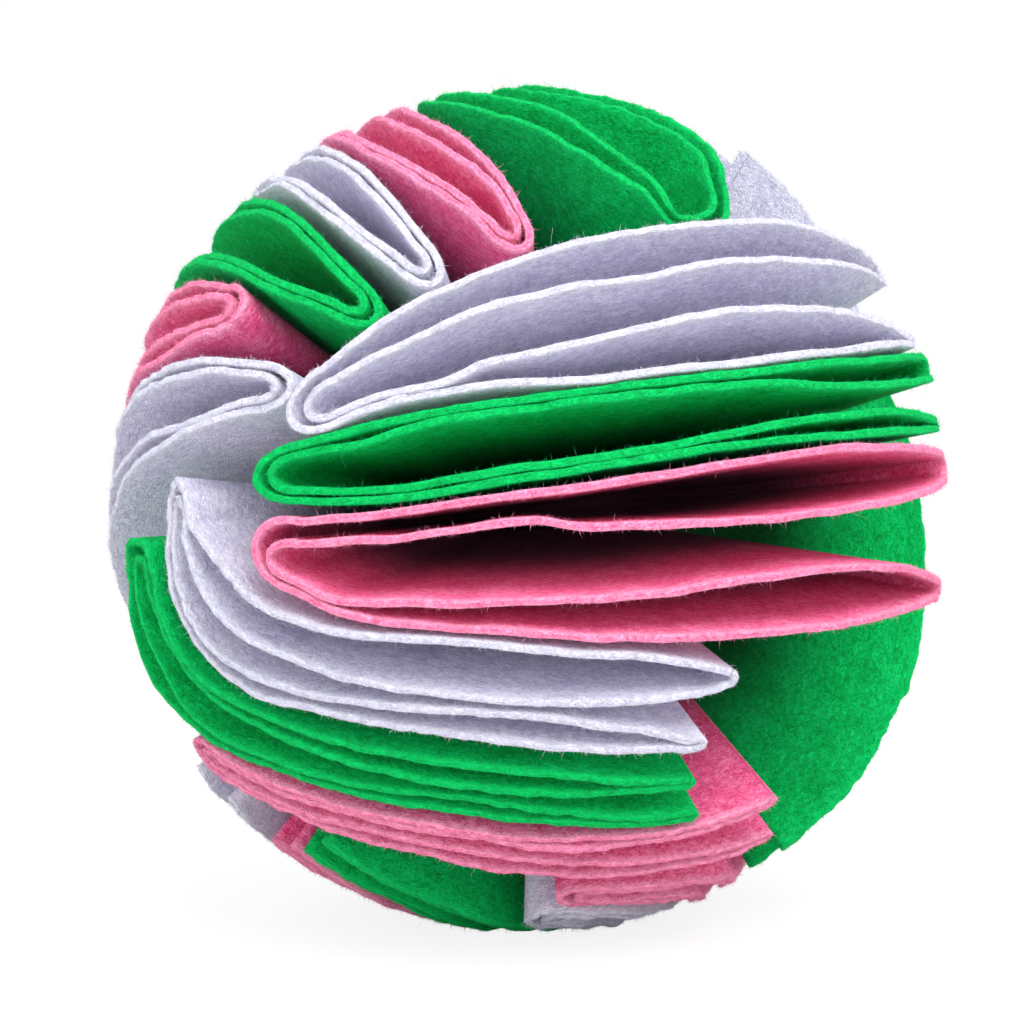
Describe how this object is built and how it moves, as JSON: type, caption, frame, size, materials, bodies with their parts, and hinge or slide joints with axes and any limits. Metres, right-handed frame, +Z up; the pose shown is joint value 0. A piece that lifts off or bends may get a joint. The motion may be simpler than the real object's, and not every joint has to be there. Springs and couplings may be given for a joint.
{
  "type": "sniffing ball",
  "caption": "Ball of felt discs folded in quarters and strung by their tips, with open rims outside in which treats are hidden.",
  "frame": {"origin": "on the surface that the ball stands on, under the ball's middle", "axes": "+Z up, -Y towards the side that the picture shows, +X to its right"},
  "size_m": [0.1397, 0.1399, 0.138],
  "materials": {
    "lavender_felt": "matte",
    "green_felt": "matte",
    "pink_felt": "matte",
    "cord": "matte"
  },
  "bodies": {
    "cords": {"front_cord": "cord", "left_cord": "cord", "rear_cord": "cord", "middle_tie": "cord"},
    "lavender_leaf_1": {"lavender_leaf_1": "lavender_felt"},
    "green_leaf_1": {"green_leaf_1": "green_felt"},
    "pink_leaf_1": {"pink_leaf_1": "pink_felt"},
    "lavender_leaf_2": {"lavender_leaf_2": "lavender_felt"},
    "green_leaf_2": {"green_leaf_2": "green_felt"},
    "pink_leaf_2": {"pink_leaf_2": "pink_felt"},
    "lavender_leaf_3": {"lavender_leaf_3": "lavender_felt"},
    "pink_leaf_3": {"pink_leaf_3": "pink_felt"},
    "green_leaf_3": {"green_leaf_3": "green_felt"},
    "lavender_leaf_4": {"lavender_leaf_4": "lavender_felt"},
    "pink_leaf_4": {"pink_leaf_4": "pink_felt"},
    "green_leaf_4": {"green_leaf_4": "green_felt"},
    "lavender_leaf_5": {"lavender_leaf_5": "lavender_felt"},
    "pink_leaf_5": {"pink_leaf_5": "pink_felt"},
    "green_leaf_5": {"green_leaf_5": "green_felt"},
    "lavender_leaf_6": {"lavender_leaf_6": "lavender_felt"},
    "pink_leaf_6": {"pink_leaf_6": "pink_felt"},
    "green_leaf_6": {"green_leaf_6": "green_felt"},
    "green_leaf_7": {"green_leaf_7": "green_felt"},
    "lavender_leaf_7": {"lavender_leaf_7": "lavender_felt"},
    "lavender_leaf_8": {"lavender_leaf_8": "lavender_felt"},
    "pink_leaf_7": {"pink_leaf_7": "pink_felt"},
    "pink_leaf_8": {"pink_leaf_8": "pink_felt"},
    "green_leaf_8": {"green_leaf_8": "green_felt"}
  },
  "joints": [
    {"name": "lavender_leaf_1_swivel", "type": "hinge", "parent": "cords", "child": "lavender_leaf_1", "pos_m": [0.00183, -0.01127, 0.07309], "axis": [-0.3064, 0.3497, 0.8853], "range_deg": [0, 2], "stiffness_Nm_per_rad": 0.5},
    {"name": "green_leaf_1_swivel", "type": "hinge", "parent": "cords", "child": "green_leaf_1", "pos_m": [0.00172, -0.01223, 0.06996], "axis": [-0.193, 0.1259, 0.9731], "range_deg": [-2, 2], "stiffness_Nm_per_rad": 0.5},
    {"name": "pink_leaf_1_swivel", "type": "hinge", "parent": "cords", "child": "pink_leaf_1", "pos_m": [0.00128, -0.01236, 0.06668], "axis": [-0.0339, -0.1114, 0.9932], "range_deg": [-2, 2], "stiffness_Nm_per_rad": 0.5},
    {"name": "lavender_leaf_2_swivel", "type": "hinge", "parent": "cords", "child": "lavender_leaf_2", "pos_m": [0.00062, -0.01151, 0.06316], "axis": [0.01, -0.3713, 0.9285], "range_deg": [-3, 3], "stiffness_Nm_per_rad": 0.5},
    {"name": "green_leaf_2_swivel", "type": "hinge", "parent": "cords", "child": "green_leaf_2", "pos_m": [0.00145, -0.00997, 0.0606], "axis": [-0.0371, -0.5637, 0.8251], "range_deg": [-3, 3], "stiffness_Nm_per_rad": 0.5},
    {"name": "pink_leaf_2_swivel", "type": "hinge", "parent": "cords", "child": "pink_leaf_2", "pos_m": [0.0025, -0.00817, 0.05888], "axis": [0.1048, -0.7164, 0.6898], "range_deg": [-2, 3], "stiffness_Nm_per_rad": 0.5},
    {"name": "lavender_leaf_3_swivel", "type": "hinge", "parent": "cords", "child": "lavender_leaf_3", "pos_m": [-0.0113, -0.00497, 0.06998], "axis": [0.0493, -0.475, -0.8786], "range_deg": [0, 4], "stiffness_Nm_per_rad": 0.5},
    {"name": "pink_leaf_3_swivel", "type": "hinge", "parent": "cords", "child": "pink_leaf_3", "pos_m": [-0.01092, -0.00356, 0.07293], "axis": [-0.2941, -0.3398, -0.8933], "range_deg": [-1, 4], "stiffness_Nm_per_rad": 0.5},
    {"name": "green_leaf_3_swivel", "type": "hinge", "parent": "cords", "child": "green_leaf_3", "pos_m": [-0.00913, -0.0033, 0.07587], "axis": [-0.5869, -0.2288, -0.7766], "range_deg": [0, 4], "stiffness_Nm_per_rad": 0.5},
    {"name": "lavender_leaf_4_swivel", "type": "hinge", "parent": "cords", "child": "lavender_leaf_4", "pos_m": [-0.00722, -0.00243, 0.07791], "axis": [-0.762, -0.2204, -0.609], "range_deg": [0, 4], "stiffness_Nm_per_rad": 0.5},
    {"name": "pink_leaf_4_swivel", "type": "hinge", "parent": "cords", "child": "pink_leaf_4", "pos_m": [-0.00491, -0.00201, 0.07932], "axis": [-0.8938, -0.1737, -0.4134], "range_deg": [0, 4], "stiffness_Nm_per_rad": 0.5},
    {"name": "green_leaf_4_swivel", "type": "hinge", "parent": "cords", "child": "green_leaf_4", "pos_m": [-0.00203, -0.00098, 0.08029], "axis": [-0.893, -0.3973, -0.2115], "range_deg": [0, 4], "stiffness_Nm_per_rad": 0.5},
    {"name": "lavender_leaf_5_swivel", "type": "hinge", "parent": "cords", "child": "lavender_leaf_5", "pos_m": [-0.00561, 0.00352, 0.0574], "axis": [-0.7401, 0.4162, 0.5282], "range_deg": [-4, 4], "stiffness_Nm_per_rad": 0.5},
    {"name": "pink_leaf_5_swivel", "type": "hinge", "parent": "cords", "child": "pink_leaf_5", "pos_m": [-0.00226, 0.00105, 0.05575], "axis": [-0.9275, 0.3179, 0.1968], "range_deg": [-4, 2], "stiffness_Nm_per_rad": 0.5},
    {"name": "green_leaf_5_swivel", "type": "hinge", "parent": "cords", "child": "green_leaf_5", "pos_m": [0.00059, -0.00049, 0.05552], "axis": [-0.9234, 0.3794, -0.0586], "range_deg": [-3, 2], "stiffness_Nm_per_rad": 0.5},
    {"name": "lavender_leaf_6_swivel", "type": "hinge", "parent": "cords", "child": "lavender_leaf_6", "pos_m": [0.00251, -0.00321, 0.05618], "axis": [0.8531, -0.4581, 0.2496], "range_deg": [-1, 2], "stiffness_Nm_per_rad": 0.5},
    {"name": "pink_leaf_6_swivel", "type": "hinge", "parent": "cords", "child": "pink_leaf_6", "pos_m": [0.00288, -0.00611, 0.05748], "axis": [0.8769, -0.1837, 0.4441], "range_deg": [-1.5, 0.5], "stiffness_Nm_per_rad": 0.5},
    {"name": "green_leaf_6_swivel", "type": "hinge", "parent": "cords", "child": "green_leaf_6", "pos_m": [-0.00845, 0.00918, 0.06714], "axis": [0.7291, 0.6518, -0.209], "range_deg": [-4, 3], "stiffness_Nm_per_rad": 0.5},
    {"name": "green_leaf_7_swivel", "type": "hinge", "parent": "cords", "child": "green_leaf_7", "pos_m": [0.01236, 0.00181, 0.0684], "axis": [-0.1569, 0.9851, -0.0698], "range_deg": [-4, 1], "stiffness_Nm_per_rad": 0.5},
    {"name": "lavender_leaf_7_swivel", "type": "hinge", "parent": "cords", "child": "lavender_leaf_7", "pos_m": [0.00068, 0.01248, 0.06802], "axis": [0.9977, -0.053, -0.0428], "range_deg": [-3, 3], "stiffness_Nm_per_rad": 0.5},
    {"name": "lavender_leaf_8_swivel", "type": "hinge", "parent": "cords", "child": "lavender_leaf_8", "pos_m": [0.01079, 0.00628, 0.0687], "axis": [0.515, -0.8283, -0.2209], "range_deg": [-4, 4], "stiffness_Nm_per_rad": 0.5},
    {"name": "pink_leaf_7_swivel", "type": "hinge", "parent": "cords", "child": "pink_leaf_7", "pos_m": [0.00805, 0.00955, 0.0684], "axis": [0.763, -0.6307, -0.1415], "range_deg": [-4, 4], "stiffness_Nm_per_rad": 0.5},
    {"name": "pink_leaf_8_swivel", "type": "hinge", "parent": "cords", "child": "pink_leaf_8", "pos_m": [-0.004, 0.01184, 0.06755], "axis": [0.9421, 0.3133, -0.1197], "range_deg": [-3, 3], "stiffness_Nm_per_rad": 0.5},
    {"name": "green_leaf_8_swivel", "type": "hinge", "parent": "cords", "child": "green_leaf_8", "pos_m": [0.00449, 0.01166, 0.06825], "axis": [0.9327, -0.3549, -0.0642], "range_deg": [-4, 4], "stiffness_Nm_per_rad": 0.5}
  ]
}
